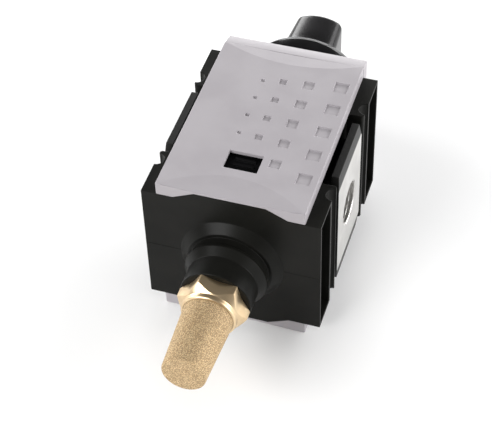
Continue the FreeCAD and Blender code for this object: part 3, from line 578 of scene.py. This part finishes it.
def muffler_base():
    """Brass hexagon.  Going out from the socket: the rounded collar that holds the element,
    a cone that meets each flat in an arc, the flats, and the shank behind them."""
    angle = np.linspace(0, 2 * np.pi, 432, endpoint=False)[None]
    corner = hex_radius(angle)
    collar, collar_length, rounding, slope = 9.3, 1.7, 0.75, 0.95
    lip, edge, shank, bore, chamfer = 0.2, 0.14, 7.9, 5.0, 0.8
    one = np.ones_like(angle)
    cone_start = HEX_FRONT + collar_length
    rows = [
        (bore * one, HEX_FRONT + SOCKET_DEPTH), (SOCKET_RADIUS * one, HEX_FRONT + SOCKET_DEPTH),
        (SOCKET_RADIUS * one, HEX_FRONT + lip)]
    for turn in np.linspace(math.pi / 2, 0, 7):
        rows.append(((collar - rounding * (1 - math.cos(turn))) * one,
                     HEX_FRONT + rounding * (1 - math.sin(turn))))
    rows.append((collar * one, cone_start - 0.15))
    for share in np.linspace(0, 1, 8)[:-1]:
        radius = collar + 0.08 + (corner - collar - 0.08) * share
        rows.append((radius, cone_start + (radius - collar) * slope))
    side_start = cone_start + (corner - collar) * slope
    rows += [
        (corner - 0.4 * edge, side_start - 0.1 * edge), (corner, side_start + edge),
        (corner, (side_start + HEX_BACK) / 2), (corner, HEX_BACK - edge),
        (corner - edge, HEX_BACK), ((shank + 0.3) * one, HEX_BACK),
        (shank * one, HEX_BACK), (shank * one, SHANK_END - chamfer),
        ((shank - chamfer) * one, SHANK_END), (bore * one, SHANK_END)]
    radius = np.concatenate([np.broadcast_to(r, angle.shape) for r, _ in rows])
    along = np.concatenate([np.broadcast_to(y, angle.shape) for _, y in rows])
    piece = skin("brass_hexagon", around(radius, along, angle), sharp=24)
    finish_piece(piece, "valve", "brass", BRASS, "muffler_base")


def scattered(cell):
    """Three numbers from 0 to 1 for each whole-numbered cell, the same in every run."""
    keys = np.array([[127.1, 311.7, 74.7], [269.5, 183.3, 246.1], [113.5, 271.9, 124.6]])
    return np.modf(np.abs(np.sin(cell @ keys.T) * 43758.5453))[0]


def grain_height(points, size):
    """Packed round grains: each cell of a cubic lattice holds one grain centre at a random
    place, and the height is the cap of the nearest ball, sqrt(1 - (distance / size)^2)."""
    cell = np.floor(points / size)
    nearest = np.full(points.shape[:-1], np.inf)
    for step in np.ndindex(3, 3, 3):
        near_cell = cell + np.array(step) - 1
        centre = (near_cell + scattered(near_cell)) * size
        nearest = np.minimum(nearest, np.linalg.norm(points - centre, axis=-1))
    return np.sqrt(np.clip(1 - (nearest / size) ** 2, 0, 1))


def muffler_element():
    """Sintered cup: a tapered outline with a rounded tip, carried round the axis, with each
    outer point sunk by the depth of the grain pattern there."""
    root, tip = ELEMENT_HIGH[0], ELEMENT_HIGH[0] - 1.15
    root_y, tip_y, wall = ELEMENT_HIGH[1], ELEMENT_LOW[1], 2.8
    spacing, grain_size, grain_depth = 0.125, 0.36, 0.13
    corners = [(root, HEX_FRONT, 0), (tip, tip_y, 0.8), (0.02, tip_y, 0)]
    outer = resampled(rounded(corners, steps=8), spacing)
    inner = np.array([(0.02, tip_y + wall), (tip - wall, tip_y + wall), (root - wall, root_y),
                      (root, root_y)])
    angle = np.linspace(0, 2 * np.pi, 368, endpoint=False)[None]
    grid = around(outer[:, :1], outer[:, 1:], angle)
    direction = np.gradient(outer, axis=0)
    direction /= np.linalg.norm(direction, axis=1)[:, None]
    across, along = direction[:, 1:], -direction[:, :1]
    ease = np.clip((outer[:, 1:] - HEX_FRONT) / -0.5, 0, 1)
    sink = grain_depth * (1 - grain_height(grid, grain_size)) * ease
    normal = np.stack([across * np.cos(angle), along + 0 * angle, across * np.sin(angle)],
                      axis=-1)
    outward = np.sign(normal[0, 0, 0] * grid[0, 0, 0])
    grid = grid - outward * normal * sink[..., None]
    grid = np.concatenate([grid, around(inner[:, :1], inner[:, 1:], angle)])
    piece = skin("sintered_cup", grid, sharp=80)
    finish_piece(piece, "valve", "sintered_bronze", BRONZE, "muffler_element")


# ---- knob --------------------------------------------------------------------------------
def grip_outline(half, tip, corner, crown):
    """Plan of the grip bar, anticlockwise from +X: its points and outward normals.

    Each quarter is a straight flank, a rounded corner and half of a crowned end.  The
    crown's centre is at (0, tip - crown) and it touches the corner's circle, so the corner's
    centre lies sqrt((crown - corner)^2 - (half - corner)^2) further out than that."""
    centre_x = half - corner
    rise = math.sqrt((crown - corner) ** 2 - centre_x ** 2)
    centre_z = tip - crown + rise
    high = math.atan2(rise, centre_x)
    flank = np.stack([np.full(24, half), np.linspace(0, centre_z, 25)[:-1]], axis=1)
    points, normals = [flank], [np.tile([1.0, 0.0], (24, 1))]
    for centre, radius, turn in (
            ((centre_x, centre_z), corner, np.linspace(0, high, 19)[:-1]),
            ((0, tip - crown), crown, np.linspace(high, math.pi / 2, 15)[:-1])):
        outward = np.stack([np.cos(turn), np.sin(turn)], axis=1)
        points.append(np.array(centre) + radius * outward)
        normals.append(outward)
    quarter, normal = np.concatenate(points), np.concatenate(normals)
    end, up = np.array([[0.0, tip]]), np.array([[0.0, 1.0]])
    flip = np.array([-1.0, 1.0])
    half_turn = [np.concatenate([a, b, a[:0:-1] * flip]) for a, b in ((quarter, end), (normal, up))]
    return [np.concatenate([a, -a]) for a in half_turn]


def knob():
    """Knob as one skin: for each point of the grip's plan a line runs from the cap's seat over
    the top of the bar, down its flank, through a fillet onto the dome, round the skirt and
    back inside."""
    bottom, top, rim = KNOB_LOW[1], KNOB_HIGH[1], KNOB_HIGH[0]
    shoulder, dome_rise, dome_flat, dome_bulge = bottom + 10.8, 7.0, 13.0, 1.6
    plan, normal = grip_outline(half=9.1, tip=20.0, corner=4.0, crown=16.0)
    radial = plan / np.linalg.norm(plan, axis=1)[:, None]
    flank_radius = (rim + dome_flat) / 2 + dome_bulge
    ends = np.array([[rim, shoulder], [flank_radius, shoulder + 0.62 * dome_rise],
                     [dome_flat, shoulder + dome_rise]])
    squares = (ends ** 2).sum(1)
    centre = np.linalg.solve(2 * (ends[1:] - ends[0]), squares[1:] - squares[0])
    reach = np.linalg.norm(ends[0] - centre)

    def dome(place):
        """Height of the shoulder: an arc through its rim, its flank and its flat top."""
        radius = np.linalg.norm(place, axis=1)
        arc = centre[1] + np.sqrt(np.maximum(reach ** 2 - (radius - centre[0]) ** 2, 0))
        return np.where(radius < dome_flat, shoulder + dome_rise, arc)

    def circle(radius, height):
        """Row of points on a circle, each at the angle of its point of the plan."""
        return radial * radius, np.full(len(plan), height)

    seat, depth, lip, ledge = CAP_RADIUS + 0.05, 1.6, 0.12, 0.4
    taper, rounding, fillet = 0.7, 1.2, 1.3
    rows = [circle(seat - ledge, top - depth), circle(seat, top - depth), circle(seat, top - lip)]
    for part in np.linspace(0.0, 1.0, 8):
        turn = part * math.pi / 2
        inset = taper + rounding * (1 - math.sin(turn))
        height = top - rounding * (1 - math.cos(turn))
        rows.append((plan - normal * inset, np.full(len(plan), height)))
    landing = dome(plan + normal * fillet)
    for part in np.linspace(0.12, 0.88, 7):
        rows.append((plan - normal * taper * (1 - part),
                     (top - rounding) * (1 - part) + (landing + fillet) * part))
    for part in np.linspace(0.0, 1.0, 8):
        turn = part * math.pi / 2
        place = plan + normal * fillet * (1 - math.cos(turn))
        ease = part ** 2 * (3 - 2 * part)
        height = landing + fillet * (1 - math.sin(turn))
        rows.append((place, height * (1 - ease) + dome(place) * ease))
    start = plan + normal * fillet
    for part in np.linspace(0.08, 1.0, 14):
        place = start * (1 - part) + radial * rim * part
        rows.append((place, dome(place)))
    inner, floor, hub, hub_depth = rim - 1.6, FRAME_TOP + 3.4, 10.4, 4.8
    tail = [(rim, shoulder - 0.4), (rim, bottom + 0.3), (rim - 0.3, bottom), (inner + 0.2, bottom),
            (inner, bottom + 0.2), (inner, floor), (hub, floor), (hub, floor + hub_depth),
            (seat - ledge, floor + hub_depth)]
    rows += [circle(radius, height) for radius, height in tail]
    grid = np.stack([np.stack([p[:, 0], y, AXIS_Z + p[:, 1]], axis=1) for p, y in rows])
    piece = skin("turning_knob", grid, sharp=50)
    finish_piece(piece, "handle", "knob_plastic", KNOB_BLACK, "knob")
    low = top - depth + 0.1
    cap = turned("knob_cover_cap", rounded([(0.01, low, 0), (CAP_RADIUS, low, 0.1),
                                            (CAP_RADIUS, top, 0.3), (0.01, top, 0)]), loop=False)
    finish_piece(cap, "handle", "knob_plastic", KNOB_BLACK, "knob_cap")


# ---- nodes shown as they are -------------------------------------------------------------
CARRIED = {
    "plated_brass": NICKEL, "seal_rubber": RUBBER, "spring_steel": STEEL, "screw_steel": ZINC,
    "seat_plastic": SEAT_WHITE, "washer_plastic": WASHER_CREAM, "body_plastic": BODY_BLACK,
}


def dress_carried_nodes():
    """Gives each node that is still shown the finish of its material slot."""
    slots = {part["node"]: part["material_slot"] for part in frame["record"]["subparts"]}
    for name, node in frame["nodes"].items():
        if not node.hide_render:
            node.data.materials.clear()
            node.data.materials.append(CARRIED[slots[name]])


# ---- studio ------------------------------------------------------------------------------
def aim(thing, place, target, roll=0.0):
    """Puts a light or camera at a place, looking at a target, rolled about its line of sight."""
    place, target = Vector(place) * MM, Vector(target) * MM
    turn = (target - place).to_track_quat("-Z", "Y").to_matrix().to_4x4()
    thing.matrix_world = Matrix.Translation(place) @ turn @ Matrix.Rotation(roll, 4, "Z")
    bpy.context.scene.collection.objects.link(thing)


def softbox(name, place, target, width, height, watts):
    """White rectangular soft light, sizes in millimetres."""
    light = bpy.data.lights.new(name, "AREA")
    light.shape = "RECTANGLE"
    light.size, light.size_y = width * MM, height * MM
    light.energy = watts
    aim(bpy.data.objects.new(name, light), place, target)


def studio():
    """Pale floor, even surroundings, soft lights and the camera."""
    centre = (0, -15, AXIS_Z)
    side = 1500.0
    corners = np.array([(-side, -side, 0), (side, -side, 0), (side, side, 0), (-side, side, 0)])
    floor = make_mesh("floor", corners, np.array([[0, 1, 2, 3]]))
    p = Paint("floor_paint")
    pale = p.blend(p.noise(0.02, 3.0), (0.93, 0.93, 0.93), (0.95, 0.95, 0.95))
    floor.data.materials.append(p.done(pale, 0.6))
    world = bpy.data.worlds.new("surroundings")
    world.use_nodes = True
    world.node_tree.nodes["Background"].inputs["Color"].default_value = (1.0, 1.0, 1.0, 1.0)
    world.node_tree.nodes["Background"].inputs["Strength"].default_value = 0.18
    bpy.context.scene.world = world
    softbox("back_light", (-100, 900, 240), centre, 1100, 220, 10.0)
    softbox("back_right_light", (560, 640, 260), centre, 700, 380, 4.0)
    softbox("right_light", (750, -60, 320), centre, 450, 450, 4.5)
    softbox("front_light", (-450, -650, 480), centre, 600, 400, 7.0)
    softbox("left_light", (-700, 150, 300), centre, 300, 400, 2.5)
    bpy.context.scene.view_settings.view_transform = "Standard"
    lens = bpy.data.cameras.new("camera")
    lens.lens, lens.sensor_width = 111.65, 36.0
    lens.clip_start, lens.clip_end = 0.01, 20.0
    camera = bpy.data.objects.new("camera", lens)
    place = Vector((113.5, -347.9, 402.0))
    azimuth, elevation, roll = math.radians(19.12), math.radians(46.76), math.radians(-2.16)
    level = math.cos(elevation)
    look = Vector((-math.sin(azimuth) * level, math.cos(azimuth) * level, -math.sin(elevation)))
    aim(camera, place, place + look * 500, roll)
    bpy.context.scene.camera = camera


housing()
parting_line()
adapter()
muffler_base()
muffler_element()
knob()
dress_carried_nodes()
studio()
